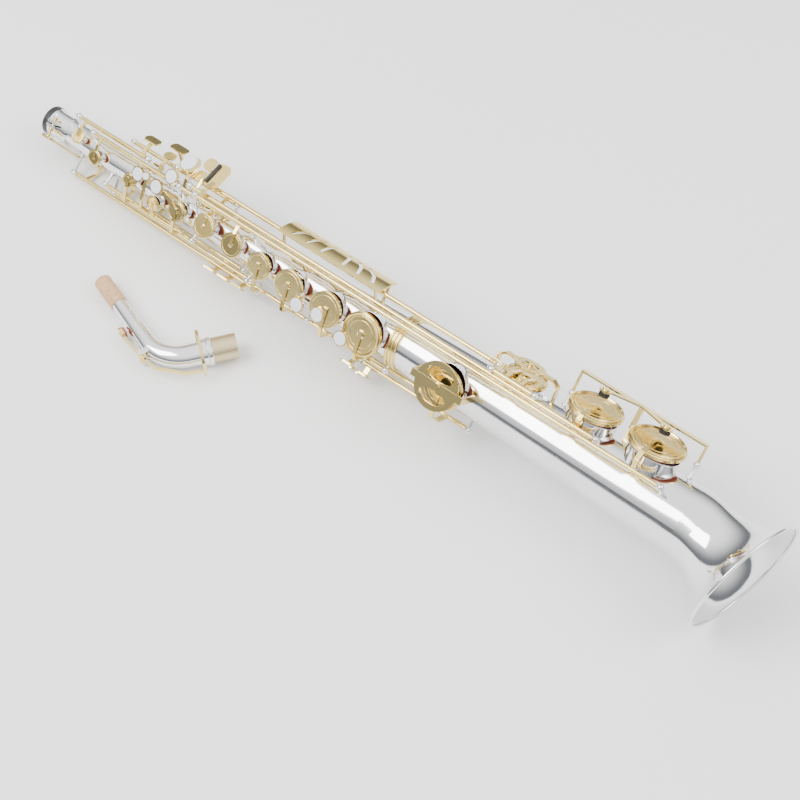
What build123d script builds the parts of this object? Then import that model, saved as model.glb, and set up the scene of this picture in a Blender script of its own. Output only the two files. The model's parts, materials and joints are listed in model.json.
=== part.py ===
"""A straight alto saxophone, lying on its keys and bell, with its neck taken off beside it.

Everything on the horn is placed from its bore axis. A station is a distance down the bore from the
top of the receiver. A turn is an angle round the bore from the front, where the stack cups face,
towards the player's left. A section point is (left, front) in millimetres from the bore axis.
"""
import math
import os

from build123d import *

os.makedirs("parts", exist_ok=True)

# ---- the horn as a whole
TOP_HEIGHT = 28.1              # bore axis above the floor at the receiver mouth
PITCH = 2.744                  # the bell end is higher than the receiver, degrees
ROLL = 52.0                    # the horn lies turned towards the player's right, degrees

# ---- tube
TOP_RADIUS = 12.6              # outside of the tube at the receiver mouth
TAPER = 0.026                  # radius gained for each millimetre of bore
WALL = 0.8
BODY_START, BODY_END = 20.0, 466.0
BEND_START = 787.0             # the bell is straight up to here
BEND_RADIUS = 60.0
BELL_TIP = 14.0                # the bell mouth is turned aside by this angle
BELL_TIP_TURN = -72.0          # and it turns this way
FLARE_LENGTH = 50.0
RIM_RADIUS = 59.0
RIM_WIRE = 1.5
CHIMNEY = 3.5                  # tone hole walls stand this far above the tube
BELL_CHIMNEY = 7.0

# ---- keys
CLEAR = 0.3                    # air between parts that move past each other
PAD = 3.5                      # pad thickness
PAD_INSET = 1.0                # cup wall round the pad
POCKET = 2.0                   # depth of the pad's seat in its cup
CUP_HEIGHT = 3.2
LAND = 3.5                     # a cup is this much larger in radius than its tone hole
HINGE_TUBE = 2.2               # outside radius of a key's hinge tube
ROD = 1.2                      # steel rod that the hinge tubes turn on
ROD_FIT = 0.05                 # running clearance of a hinge tube on its rod
POST_BALL = 3.3
POST_STEM = 1.5
PEARL = 6.7
PEARL_THICK = 2.4
HOLDER = 7.8                   # outside radius of a pearl's metal holder

# Tone holes: station, turn, cup radius, chimney height
LOW_BB = (732, 90, 27.0, BELL_CHIMNEY)
LOW_B = (668, 90, 26.0, BELL_CHIMNEY)
LOW_CS = (597, 82, 21.0, 4.5)
LOW_C = (540, 0, 22.0, CHIMNEY)
LOW_EB = (500, -140, 18.0, CHIMNEY)
HOLE_D = (443, 0, 21.5, CHIMNEY)
HOLE_E = (397, 0, 18.0, CHIMNEY)
HOLE_F = (350, 0, 16.2, CHIMNEY)
HOLE_FS = (311, 0, 14.0, CHIMNEY)
HOLE_GS = (271, 0, 12.5, CHIMNEY)
HOLE_G = (235, 0, 12.0, CHIMNEY)
HOLE_A = (198, 0, 11.0, CHIMNEY)
HOLE_BIS = (165, -20, 8.0, CHIMNEY)
HOLE_C = (130, 0, 8.0, CHIMNEY)
PALM_D = (100, 172, 8.5, CHIMNEY)
PALM_EB = (77, -5, 8.5, CHIMNEY)
PALM_F = (47, 20, 7.5, CHIMNEY)
SIDE_E = (62, -128, 7.5, CHIMNEY)
SIDE_C = (110, -135, 8.0, CHIMNEY)
SIDE_BB = (150, -140, 9.0, CHIMNEY)
OCTAVE = (84, -142, 5.0, CHIMNEY)

# Hinge lines, as section points
LOWER_STACK = (-28.0, 15.0)
UPPER_STACK = (-24.0, 13.0)
G_LINE = (31.0, 8.0)
GS_LINE = (22.0, 26.0)
BB_LINE = (26.0, 33.5)
B_LINE = (29.0, 27.0)
CS_LEVER_LINE = (36.0, 15.0)
CS_LINE = (35.0, 31.0)
C_LINE = (-38.0, 2.0)
EB_LINE = (-34.0, -7.0)
SIDE_E_LINE = (-34.5, 6.1)
SIDE_C_LINE = (-32.9, -2.9)
SIDE_BB_LINE = (-31.0, -11.3)
PALM_D_LINE = (20.7, -17.4)
PALM_EB_LINE = (19.1, 19.1)
PALM_F_LINE = (23.8, 12.7)
OCTAVE_LINE = (-8.5, -25.0)

SHIFT_X, SHIFT_Y = -428.5, 50.85   # puts the middle of the whole set over the origin
HORN = Plane(Location((SHIFT_X, SHIFT_Y, TOP_HEIGHT)) * Location((0, 0, 0), (0, -PITCH, 0))
             * Location((0, 0, 0), (ROLL, 0, 0)))


def tube_radius(station):
    return TOP_RADIUS + TAPER * station


def polar(turn, radius):
    """Section point at an angle round the bore."""
    return radius * math.sin(math.radians(turn)), radius * math.cos(math.radians(turn))


def horn_plane(station=0.0, left=0.0, front=0.0, turn=0.0, swing=0.0):
    """Plane with X down the bore and Z facing out at the turn, swung about its own X axis."""
    place = Location((station, left, front)) * Location((0, 0, 0), (swing - turn, 0, 0))
    return Plane(HORN.location * place)


def across(plane, station):
    """Plane across the bore: its X and Y are the given plane's Y and Z."""
    turn = Location((station, 0, 0)) * Location((0, 0, 0), (90, 0, 0)) * Location((0, 0, 0), (0, 90, 0))
    return Plane(plane.location * turn)


def along(plane):
    """Plane that holds the given plane's X and Z as its own X and Y."""
    return Plane(plane.location * Location((0, 0, 0), (90, 0, 0)))


HORN_PROFILE = along(HORN)
HORN_AXIS = Axis(HORN.origin, HORN.x_dir)


def save(piece, name):
    """Label a finished piece and write it to its own file."""
    piece.part.label = name
    export_step(piece.part, f"parts/{name}.step")


def bar_outline(points, thickness):
    """Flat bar with round ends that follows the points, drawn in the current sketch."""
    for (x0, y0), (x1, y1) in zip(points, points[1:]):
        run = math.hypot(x1 - x0, y1 - y0)
        lean = math.degrees(math.atan2(y1 - y0, x1 - x0))
        with Locations(((x0 + x1) / 2, (y0 + y1) / 2)):
            SlotCenterToCenter(run, thickness, rotation=lean)


# =====================================================================================
# Keys
# =====================================================================================
class Hinge:
    """Line along the bore that a key turns on, facing a turn; swing is how far it rests open."""

    def __init__(self, line, face=0.0, swing=0.0):
        self.line = line
        self.face = face
        self.plane = horn_plane(0, *line, turn=face, swing=swing)

    def local(self, left, front):
        """A section point of the shut key, in the hinge's own plane."""
        dl, df = left - self.line[0], front - self.line[1]
        sine, cosine = math.sin(math.radians(self.face)), math.cos(math.radians(self.face))
        return dl * cosine - df * sine, dl * sine + df * cosine


def pad_seat(hole):
    """Section radius of the underside of a shut pad."""
    return tube_radius(hole[0]) + hole[3] + CLEAR


def cup_top(hole):
    return pad_seat(hole) + PAD - POCKET + CUP_HEIGHT


def make_key(name, hinge, span, cup=None, bars=(), flats=(), touches=(), holders=()):
    """One key.

    bars are (station, width, thickness, section points), set across the bore; flats are (front,
    thickness, width, (station, left) points), set along it; touches are (station, left, front, turn,
    length, width) plates; holders are (station, left, front, radius) pearl cups.
    """
    plane = hinge.plane
    facing = Axis(plane.origin, plane.z_dir)
    with BuildPart(plane) as key:
        if cup:
            y, z = hinge.local(*polar(cup[1], pad_seat(cup) + PAD - POCKET))
            with Locations((cup[0], y, z)):
                Cylinder(cup[2], CUP_HEIGHT, align=(Align.CENTER, Align.CENTER, Align.MIN))
            fillet(key.edges().filter_by(GeomType.CIRCLE).sort_by(facing)[-1], 0.9)
            with Locations((cup[0], y, z)):
                Cylinder(cup[2] - PAD_INSET, POCKET, mode=Mode.SUBTRACT,
                         align=(Align.CENTER, Align.CENTER, Align.MIN))
        with Locations(((span[0] + span[1]) / 2, 0, 0)):
            Cylinder(HINGE_TUBE, span[1] - span[0], rotation=(0, 90, 0))
        for station, width, thickness, points in bars:
            with BuildSketch(across(plane, station)):
                bar_outline([hinge.local(*point) for point in points], thickness)
            extrude(amount=width / 2, both=True)
        for front, thickness, width, points in flats:
            level = hinge.local(hinge.line[0], front)[1]
            with BuildSketch(plane.offset(level)):
                bar_outline([(station, left - hinge.line[0]) for station, left in points], width)
            extrude(amount=thickness)
        for station, left, front, turn, length, width in touches:
            y, z = hinge.local(left, front)
            lean = hinge.face - turn
            seat = Plane(plane.location * Location((station, y, z)) * Location((0, 0, 0), (lean, 0, 0)))
            with BuildSketch(seat):
                RectangleRounded(length, width, min(length, width) * 0.38)
            extrude(amount=1.6)
        for station, left, front, radius in holders:
            y, z = hinge.local(left, front)
            with Locations((station, y, z)):
                Cylinder(radius, 2.4, align=(Align.CENTER, Align.CENTER, Align.MIN))
            with Locations((station, y, z + 0.8)):
                Cylinder(radius - 1.0, 1.6, mode=Mode.SUBTRACT,
                         align=(Align.CENTER, Align.CENTER, Align.MIN))
        with Locations(((span[0] + span[1]) / 2, 0, 0)):
            Cylinder(ROD + ROD_FIT, span[1] - span[0] + 1, rotation=(0, 90, 0), mode=Mode.SUBTRACT)
    save(key, name)


def make_pad(name, hinge, cup):
    """Leather pad in a key's cup, with a softened lower edge."""
    facing = Axis(hinge.plane.origin, hinge.plane.z_dir)
    y, z = hinge.local(*polar(cup[1], pad_seat(cup)))
    with BuildPart(hinge.plane) as pad:
        with Locations((cup[0], y, z)):
            Cylinder(cup[2] - PAD_INSET, PAD, align=(Align.CENTER, Align.CENTER, Align.MIN))
        fillet(pad.edges().filter_by(GeomType.CIRCLE).sort_by(facing)[0], 0.8)
    save(pad, name)


def make_pearl(name, hinge, station, left, front, radius=PEARL):
    """Finger pearl set in a key's holder, with a crowned edge."""
    facing = Axis(hinge.plane.origin, hinge.plane.z_dir)
    y, z = hinge.local(left, front)
    with BuildPart(hinge.plane) as pearl:
        with Locations((station, y, z + 0.8)):
            Cylinder(radius, PEARL_THICK, align=(Align.CENTER, Align.CENTER, Align.MIN))
        fillet(pearl.edges().filter_by(GeomType.CIRCLE).sort_by(facing)[-1], 1.0)
    save(pearl, name)


OPEN_STACK, OPEN_UPPER, OPEN_BELL, OPEN_C, OPEN_G = 7.0, 6.0, 9.0, 6.0, -6.0

# ---- right-hand stack: the arms rise from the rod on the player's right and cross the cups
d_hinge = Hinge(LOWER_STACK, swing=OPEN_STACK)


def stack_arm(hole, line, reach=3.0):
    """Section points of an arm that climbs beside a cup and runs over its middle."""
    level = cup_top(hole) + 0.2
    edge = -hole[2]
    return [line, (min(line[0] + 1.0, edge - 3.0), level - 2.5), (edge + 1.0, level + 0.3),
            (reach, level + 0.3)]


D_PEARL = (424.0, -15.0, cup_top(HOLE_D) - 0.9)
E_PEARL = (392.0, -7.5, cup_top(HOLE_E) - 0.4)
F_PEARL = (366.5, -11.0, cup_top(HOLE_F) - 0.4)
make_key("d_key", d_hinge, (420.5, 466.3), HOLE_D, bars=[(443, 4.0, 2.0, stack_arm(HOLE_D, LOWER_STACK))],
         holders=[(*D_PEARL, HOLDER)])
make_key("e_key", d_hinge, (376.7, 420.1), HOLE_E, bars=[(399, 4.0, 2.0, stack_arm(HOLE_E, LOWER_STACK))],
         holders=[(*E_PEARL, HOLDER)])
make_key("f_key", d_hinge, (331.3, 369.3), HOLE_F, bars=[(350, 3.6, 2.0, stack_arm(HOLE_F, LOWER_STACK))],
         holders=[(*F_PEARL, HOLDER)])
make_key("f_sharp_key", d_hinge, (298.0, 330.9), HOLE_FS,
         bars=[(311, 3.6, 2.0, stack_arm(HOLE_FS, LOWER_STACK))])
for name, hole in (("d_pad", HOLE_D), ("e_pad", HOLE_E), ("f_pad", HOLE_F), ("f_sharp_pad", HOLE_FS)):
    make_pad(name, d_hinge, hole)
for name, spot in (("d_pearl", D_PEARL), ("e_pearl", E_PEARL), ("f_pearl", F_PEARL)):
    make_pearl(name, d_hinge, *spot)

# ---- left-hand stack
upper_hinge = Hinge(UPPER_STACK, swing=OPEN_UPPER)
bis_hinge = Hinge(UPPER_STACK, face=-20, swing=OPEN_UPPER)
g_hinge = Hinge(G_LINE, swing=OPEN_G)
C_TOUCH = (141.0, 13.0, cup_top(HOLE_C) - 0.2)
A_TOUCH = (168.0, 12.5, cup_top(HOLE_A) - 0.4)
make_key("c_key", upper_hinge, (98.0, 146.0), HOLE_C,
         bars=[(130, 3.2, 1.8, stack_arm(HOLE_C, UPPER_STACK))],
         flats=[(cup_top(HOLE_C) - 0.4, 1.6, 4.0, [(130, 0), (141, 13)])], holders=[(*C_TOUCH, HOLDER)])
make_key("bis_key", bis_hinge, (146.4, 180.0), HOLE_BIS,
         bars=[(165, 3.0, 1.8, [UPPER_STACK, (-16.5, 20.0), (-9.0, 24.6)]),
               (155, 3.0, 1.6, [UPPER_STACK, (-16.0, 26.0), (-8.0, 29.0), (18.0, 29.0)])],
         touches=[(155, 18.0, 29.0, 0, 8.6, 8.6)])
make_key("a_key", upper_hinge, (180.4, 213.3), HOLE_A,
         bars=[(198, 3.2, 1.8, stack_arm(HOLE_A, UPPER_STACK))],
         flats=[(cup_top(HOLE_A) - 0.4, 1.6, 4.0, [(198, 0), (186, 8), (168, 12.5)])],
         holders=[(*A_TOUCH, HOLDER)])
G_TOUCH = (178.6, 25.0, 25.5)
make_key("g_key", g_hinge, (172.0, 245.3), HOLE_G,
         bars=[(235, 3.2, 1.8, [G_LINE, (24.0, 13.0), (17.5, 20.0), (9.0, cup_top(HOLE_G)), (-2, cup_top(HOLE_G))]),
               (178, 4.0, 1.8, [G_LINE, (32.0, 20.0), (26.0, 25.8)])],
         holders=[(*G_TOUCH, HOLDER)])

# ---- G sharp, worked from the top of the little-finger table
gs_hinge = Hinge(GS_LINE)
make_key("g_sharp_key", gs_hinge, (194.0, 284.3), HOLE_GS,
         bars=[(271, 3.2, 1.8, [GS_LINE, (12.0, cup_top(HOLE_GS) + 1.5), (-1.0, cup_top(HOLE_GS))]),
               (196, 3.6, 1.8, [GS_LINE, (33.0, 27.0), (45.0, 20.0)])],
         touches=[(189.5, 45.0, 20.0, 50, 19.0, 20.0)])
gs_seat = Plane(gs_hinge.plane.location * Location((188.5, *gs_hinge.local(45.0, 20.0)))
                * Location((0, 0, 0), (-50, 0, 0)) * Location((0, 0, 1.6)))
with BuildPart() as g_sharp_pearl:
    with BuildSketch(gs_seat):
        Ellipse(7.6, 9.0)
    extrude(amount=1.8)
    fillet(g_sharp_pearl.edges().sort_by(Axis(gs_seat.origin, gs_seat.z_dir))[-1], 0.8)
save(g_sharp_pearl, "g_sharp_pearl")

# ---- little-finger table: the low C sharp, B and B flat touches share one sloping face
TABLE_TURN = 50.0
TABLE = (44.0, 12.0)
ACROSS_TABLE = (math.cos(math.radians(TABLE_TURN)), -math.sin(math.radians(TABLE_TURN)))


def table_point(across_mm):
    """Section point on the table, measured across it from its middle."""
    return TABLE[0] + across_mm * ACROSS_TABLE[0], TABLE[1] + across_mm * ACROSS_TABLE[1]


bb_hinge = Hinge(BB_LINE, face=90, swing=OPEN_BELL)
b_hinge = Hinge(B_LINE, face=90, swing=OPEN_BELL)
make_key("low_b_flat_key", bb_hinge, (220.0, 756.3), LOW_BB,
         bars=[(732, 4.4, 2.4, [BB_LINE, (37.0, 34.5), (cup_top(LOW_BB) + 0.4, 29.0),
                                (cup_top(LOW_BB) + 0.4, -2.0)]),
               (223.5, 5.0, 2.0, [BB_LINE, (36.0, 30.0), table_point(-6.0)])],
         touches=[(221.5, *table_point(0.0), TABLE_TURN, 16.0, 29.0)])
make_key("low_b_key", b_hinge, (206.0, 684.3), LOW_B,
         bars=[(668, 4.4, 2.4, [B_LINE, (38.5, 29.5), (cup_top(LOW_B) + 0.4, 26.5),
                                (cup_top(LOW_B) + 0.4, -2.0)]),
               (211.4, 2.2, 1.6, [B_LINE, (39.5, 22.0), table_point(4.0)])],
         touches=[(205.6, *table_point(7.7), TABLE_TURN, 14.0, 13.6)])
for name, hinge, hole in (("low_b_flat_pad", bb_hinge, LOW_BB), ("low_b_pad", b_hinge, LOW_B)):
    make_pad(name, hinge, hole)

cs_lever_hinge = Hinge(CS_LEVER_LINE)
make_key("low_c_sharp_lever", cs_lever_hinge, (194.0, 568.3),
         bars=[(202.5, 5.0, 2.0, [CS_LEVER_LINE, table_point(-7.0)]),
               (565.0, 4.0, 2.0, [CS_LEVER_LINE, (41.5, 21.0)]),
               (573.5, 21.0, 1.8, [(40.9, 20.3), (41.5, 21.0)])],
         touches=[(203.9, *table_point(-7.7), TABLE_TURN, 10.6, 13.6)])
cs_hinge = Hinge(CS_LINE, face=82)
make_key("low_c_sharp_key", cs_hinge, (578.0, 618.3), LOW_CS,
         bars=[(590, 3.6, 2.0, [CS_LINE, (cup_top(LOW_CS) + 2.0, 24.0), polar(84, cup_top(LOW_CS))]),
               (606, 3.6, 2.0, [CS_LINE, (cup_top(LOW_CS) + 2.0, 24.0), polar(84, cup_top(LOW_CS))]),
               (580.5, 4.0, 2.0, [CS_LINE, (42.2, 23.8)])])
make_pad("low_c_sharp_pad", cs_hinge, LOW_CS)

# ---- low C and E flat, worked by the right little finger
c_hinge = Hinge(C_LINE, swing=OPEN_C)
make_key("low_c_key", c_hinge, (440.0, 562.0), LOW_C,
         bars=[(540, 5.0, 2.4, [C_LINE, (-38.5, 18.0), (-30.0, 33.5), (-22.0, cup_top(LOW_C) + 0.4),
                                (0.0, cup_top(LOW_C) + 0.4)]),
               (447, 5.0, 2.0, [C_LINE, (-45.5, 6.0)])],
         touches=[(446, -46.0, 6.5, -65, 16.0, 12.0)])
make_pad("low_c_pad", c_hinge, LOW_C)
eb_hinge = Hinge(EB_LINE, face=-140)
make_key("low_e_flat_key", eb_hinge, (420.0, 516.0), LOW_EB,
         bars=[(500, 5.0, 2.2, [EB_LINE, (-38.0, -14.5), (-34.0, -21.0), polar(-140, cup_top(LOW_EB))]),
               (427, 5.0, 2.0, [EB_LINE, (-42.5, -4.0), (-45.9, 4.6)])],
         touches=[(426, -46.0, 5.5, -65, 17.0, 12.0)])

# ---- palm keys, worked by the left palm
palm_d_hinge = Hinge(PALM_D_LINE, face=172)
make_key("palm_d_key", palm_d_hinge, (92.0, 163.0), PALM_D,
         bars=[(100, 3.0, 2.0, [PALM_D_LINE, (13.0, -24.0), polar(172, cup_top(PALM_D))]),
               (155, 4.0, 2.0, [PALM_D_LINE, (32.0, -13.0), (44.6, -1.0)])],
         touches=[(157, 45.0, 0.0, 75, 20.0, 12.0)])
palm_eb_hinge = Hinge(PALM_EB_LINE, face=-5)
make_key("palm_e_flat_key", palm_eb_hinge, (68.0, 166.0), PALM_EB,
         bars=[(77, 3.0, 2.0, [PALM_EB_LINE, (12.0, 22.5), polar(-5, cup_top(PALM_EB))]),
               (156, 4.0, 2.0, [PALM_EB_LINE, (29.0, 17.5), (36.0, 11.5)])],
         touches=[(156, 37.0, 9.5, 65, 13.0, 10.0)])
palm_f_hinge = Hinge(PALM_F_LINE, face=20)
make_key("palm_f_key", palm_f_hinge, (39.0, 130.0), PALM_F,
         bars=[(47, 3.0, 2.0, [PALM_F_LINE, (16.0, 20.0), polar(20, cup_top(PALM_F))]),
               (125, 4.0, 2.0, [PALM_F_LINE, (31.0, 9.0), (38.2, 2.2)])],
         touches=[(124, 38.5, 1.5, 75, 18.0, 11.0)])

# ---- side keys, worked by the right hand, with their cups far up the tube
side_e_hinge = Hinge(SIDE_E_LINE, face=-128)
make_key("side_e_key", side_e_hinge, (50.0, 300.0), SIDE_E,
         bars=[(62, 3.0, 2.0, [SIDE_E_LINE, (-30.0, -8.0), polar(-128, cup_top(SIDE_E))]),
               (289, 4.0, 2.0, [SIDE_E_LINE, (-37.5, 15.0)])],
         touches=[(287, -37.0, 17.0, -60, 18.0, 9.0)])
side_c_hinge = Hinge(SIDE_C_LINE, face=-135)
make_key("side_c_key", side_c_hinge, (100.0, 284.0), SIDE_C,
         bars=[(110, 3.0, 2.0, [SIDE_C_LINE, (-24.0, -13.0), polar(-135, cup_top(SIDE_C))]),
               (268, 4.0, 2.0, [SIDE_C_LINE, (-39.5, 2.0), (-39.5, 12.0)])],
         touches=[(267, -38.5, 14.0, -65, 18.0, 9.0)])
side_bb_hinge = Hinge(SIDE_BB_LINE, face=-140)
make_key("side_b_flat_key", side_bb_hinge, (141.0, 266.0), SIDE_BB,
         bars=[(150, 3.0, 2.0, [SIDE_BB_LINE, (-23.0, -19.0), polar(-140, cup_top(SIDE_BB))]),
               (248, 4.0, 2.0, [SIDE_BB_LINE, (-38.5, -6.5), (-41.0, 4.0), (-40.0, 10.0)])],
         touches=[(247, -39.5, 12.0, -65, 18.0, 9.0)])

# ---- octave key on the back, with a pin that reaches up beside the receiver
octave_hinge = Hinge(OCTAVE_LINE, face=OCTAVE[1])
PIN_TURN, PIN_RADIUS = -62.0, 18.5
with BuildPart(octave_hinge.plane) as octave_key:
    octave_y, octave_z = octave_hinge.local(*polar(OCTAVE[1], pad_seat(OCTAVE)))
    with Locations((86, 0, 0)):
        Cylinder(HINGE_TUBE, 92, rotation=(0, 90, 0))
    with Locations((OCTAVE[0], octave_y, octave_z)):
        Cylinder(OCTAVE[2], CUP_HEIGHT, align=(Align.CENTER, Align.CENTER, Align.MIN))
    with BuildSketch(across(octave_hinge.plane, OCTAVE[0])):
        bar_outline([(0, 0), (octave_y, octave_z + CUP_HEIGHT)], 2.0)
    extrude(amount=1.5, both=True)
    with BuildSketch(across(octave_hinge.plane, 120)):
        bar_outline([octave_hinge.local(*point) for point in (OCTAVE_LINE, (2.0, -27.5), (9.0, -27.0))], 2.0)
    extrude(amount=7, both=True)
    with BuildSketch(across(HORN, 42)):
        with BuildLine():
            CenterArc((0, 0), PIN_RADIUS + 1, 90 - PIN_TURN, 100)
            CenterArc((0, 0), PIN_RADIUS - 1, 90 - PIN_TURN, 100)
            Line(((PIN_RADIUS + 1) * math.sin(math.radians(PIN_TURN)),
                  (PIN_RADIUS + 1) * math.cos(math.radians(PIN_TURN))),
                 ((PIN_RADIUS - 1) * math.sin(math.radians(PIN_TURN)),
                  (PIN_RADIUS - 1) * math.cos(math.radians(PIN_TURN))))
            Line(((PIN_RADIUS + 1) * math.sin(math.radians(PIN_TURN - 100)),
                  (PIN_RADIUS + 1) * math.cos(math.radians(PIN_TURN - 100))),
                 ((PIN_RADIUS - 1) * math.sin(math.radians(PIN_TURN - 100)),
                  (PIN_RADIUS - 1) * math.cos(math.radians(PIN_TURN - 100))))
        make_face()
    extrude(amount=1.5, both=True)
    with BuildSketch(across(HORN, 42)):
        bar_outline([OCTAVE_LINE, polar(PIN_TURN - 96, PIN_RADIUS)], 2.2)
    extrude(amount=1.5, both=True)
    with BuildSketch(across(HORN, 6)):
        with Locations(polar(PIN_TURN, PIN_RADIUS)):
            Circle(1.2)
    extrude(amount=37)
    with Locations((86, 0, 0)):
        Cylinder(ROD + ROD_FIT, 94, rotation=(0, 90, 0), mode=Mode.SUBTRACT)
save(octave_key, "octave_key")


# =====================================================================================
# Tube and bell
# =====================================================================================
def cone_profile(start, end, inner=False):
    """Outline of a length of the bore cone: solid out to the tube's outside, or to its inside."""
    less = WALL if inner else 0.0
    Polyline((start, 0), (start, tube_radius(start) - less), (end, tube_radius(end) - less), (end, 0),
             close=True)


def tube_with_holes(start, end, holes):
    """Solid cone with a chimney for each tone hole; the bore and holes are cut afterwards."""
    with BuildSketch(HORN_PROFILE) as cone:
        with BuildLine():
            cone_profile(start, end)
        make_face()
    revolve(cone.sketch, axis=HORN_AXIS)
    for station, turn, radius, height in holes:
        with BuildSketch(horn_plane(station, turn=turn)) as chimney:
            Circle(radius - LAND + 0.9)
        extrude(chimney.sketch, amount=tube_radius(station) + height)


def bore_and_holes(start, end, holes):
    with BuildSketch(HORN_PROFILE) as bore:
        with BuildLine():
            cone_profile(start, end, inner=True)
        make_face()
    revolve(bore.sketch, axis=HORN_AXIS, mode=Mode.SUBTRACT)
    for station, turn, radius, height in holes:
        with BuildSketch(horn_plane(station, turn=turn)) as hole:
            Circle(radius - LAND)
        extrude(hole.sketch, amount=tube_radius(station) + height + 2, mode=Mode.SUBTRACT)


BODY_HOLES = [HOLE_D, HOLE_E, HOLE_F, HOLE_FS, HOLE_GS, HOLE_G, HOLE_A, HOLE_BIS, HOLE_C,
              PALM_D, PALM_EB, PALM_F, SIDE_E, SIDE_C, SIDE_BB, (OCTAVE[0], OCTAVE[1], 5.6, OCTAVE[3])]
BELL_HOLES = [LOW_EB, LOW_C, LOW_CS, LOW_B, LOW_BB]
RING_END = BODY_END + 12
RING_CREST = 27.3              # outside of the ridges on the ring between body and bell

with BuildPart() as body_tube:
    tube_with_holes(BODY_START, BODY_END, BODY_HOLES)
    bore_and_holes(BODY_START, BODY_END, BODY_HOLES)
save(body_tube, "body_tube")

BEND = horn_plane(BEND_START, turn=BELL_TIP_TURN)
BEND_AXIS = Axis(BEND.origin + BEND.z_dir * BEND_RADIUS, -BEND.y_dir)
MOUTH = Plane(BEND.location * Location((0, 0, BEND_RADIUS)) * Location((0, 0, 0), (0, -BELL_TIP, 0))
              * Location((0, 0, -BEND_RADIUS)))
NECK_OF_BELL = tube_radius(BEND_START)
SWEEP = (FLARE_LENGTH ** 2 + (RIM_RADIUS - NECK_OF_BELL) ** 2) / (2 * (RIM_RADIUS - NECK_OF_BELL))
FLARE_SINE = FLARE_LENGTH / SWEEP
FLARE_COSINE = math.sqrt(1 - FLARE_SINE ** 2)
LIP_IN = (FLARE_LENGTH + WALL * FLARE_SINE, RIM_RADIUS - WALL * FLARE_COSINE)


def flare_profile():
    """Section of the flared bell wall."""
    TangentArc((0, NECK_OF_BELL), (FLARE_LENGTH, RIM_RADIUS), tangent=(1, 0))
    Line((FLARE_LENGTH, RIM_RADIUS), LIP_IN)
    TangentArc((0, NECK_OF_BELL - WALL), LIP_IN, tangent=(1, 0))
    Line((0, NECK_OF_BELL - WALL), (0, NECK_OF_BELL))


with BuildPart() as bell:
    tube_with_holes(RING_END, BEND_START, BELL_HOLES)
    bore_and_holes(RING_END, BEND_START, BELL_HOLES)
    with BuildSketch(across(HORN, BEND_START)):
        Circle(NECK_OF_BELL)
        Circle(NECK_OF_BELL - WALL, mode=Mode.SUBTRACT)
    revolve(axis=BEND_AXIS, revolution_arc=BELL_TIP)
    with BuildSketch(along(MOUTH)):
        with BuildLine():
            flare_profile()
        make_face()
    revolve(axis=Axis(MOUTH.origin, MOUTH.x_dir))
save(bell, "bell")

with BuildPart() as bell_rim:
    with BuildSketch(along(MOUTH)):
        with Locations(((FLARE_LENGTH + LIP_IN[0]) / 2 + 1.1 * FLARE_COSINE,
                        (RIM_RADIUS + LIP_IN[1]) / 2 + 1.1 * FLARE_SINE)):
            Circle(RIM_WIRE)
        with BuildLine():
            flare_profile()
        make_face(mode=Mode.SUBTRACT)
    revolve(axis=Axis(MOUTH.origin, MOUTH.x_dir))
save(bell_rim, "bell_rim")

with BuildPart() as body_ring:
    with BuildSketch(HORN_PROFILE):
        with BuildLine():
            Polyline((BODY_END, tube_radius(BODY_END) - WALL), (BODY_END, 25.8), (RING_END, 25.8),
                     (RING_END, tube_radius(RING_END) - WALL), close=True)
        make_face()
        with Locations((BODY_END + 2, 25.8), (BODY_END + 6, 25.8), (BODY_END + 10, 25.8)):
            Circle(RING_CREST - 25.8)
    revolve(axis=HORN_AXIS)
save(body_ring, "body_ring")

# ---- receiver: split socket for the neck, with a clamp screw through its two ears
SOCKET = 12.3
CLAMP_TURN, CLAMP_STATION, CLAMP_LEVEL = 10.0, 10.0, 17.8
clamp_plane = horn_plane(CLAMP_STATION, turn=CLAMP_TURN)
with BuildPart() as neck_receiver:
    with BuildSketch(HORN_PROFILE):
        with BuildLine():
            Polyline((0, SOCKET), (0, 15.2), (3, 15.2), (3, 14.2), (22, 14.2), (22, 15.2), (26, 15.2),
                     (26, tube_radius(26)), (BODY_START, tube_radius(BODY_START)), (BODY_START, SOCKET),
                     close=True)
        make_face()
    revolve(axis=HORN_AXIS)
    with Locations(clamp_plane):
        for side in (-2.25, 2.25):
            with Locations((0, side, 13.3)):
                Box(12, 3, 8.2, align=(Align.CENTER, Align.CENTER, Align.MIN))
    with BuildSketch(HORN_PROFILE):
        Rectangle(BODY_START, SOCKET, align=(Align.MIN, Align.MIN))
    revolve(axis=HORN_AXIS, mode=Mode.SUBTRACT)
    with Locations(clamp_plane):
        with Locations((-1, 0, 10)):
            Box(18, 1.5, 14, align=(Align.CENTER, Align.CENTER, Align.MIN), mode=Mode.SUBTRACT)
        with Locations((0, 0, CLAMP_LEVEL)):
            Cylinder(1.56, 12, rotation=(90, 0, 0), mode=Mode.SUBTRACT)
save(neck_receiver, "neck_receiver")

with BuildPart(clamp_plane) as clamp_screw:
    with Locations((0, -4.5, CLAMP_LEVEL)):
        Cylinder(1.5, 23, rotation=(90, 0, 0))
    with Locations((0, -5.55, CLAMP_LEVEL)):
        Cylinder(2.6, 3, rotation=(90, 0, 0))
    with Locations((0, 5.55, CLAMP_LEVEL)):
        Cylinder(2.4, 3, rotation=(90, 0, 0))
    with Locations((0, -14.5, CLAMP_LEVEL)):
        Box(13, 2.6, 7)
    fillet(clamp_screw.edges().filter_by(Axis(clamp_plane.origin, clamp_plane.y_dir)).group_by(
        Axis(clamp_plane.origin, clamp_plane.x_dir))[0], 2.4)
    fillet(clamp_screw.edges().filter_by(Axis(clamp_plane.origin, clamp_plane.y_dir)).group_by(
        Axis(clamp_plane.origin, clamp_plane.x_dir))[-1], 2.4)
save(clamp_screw, "clamp_screw")

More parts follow.
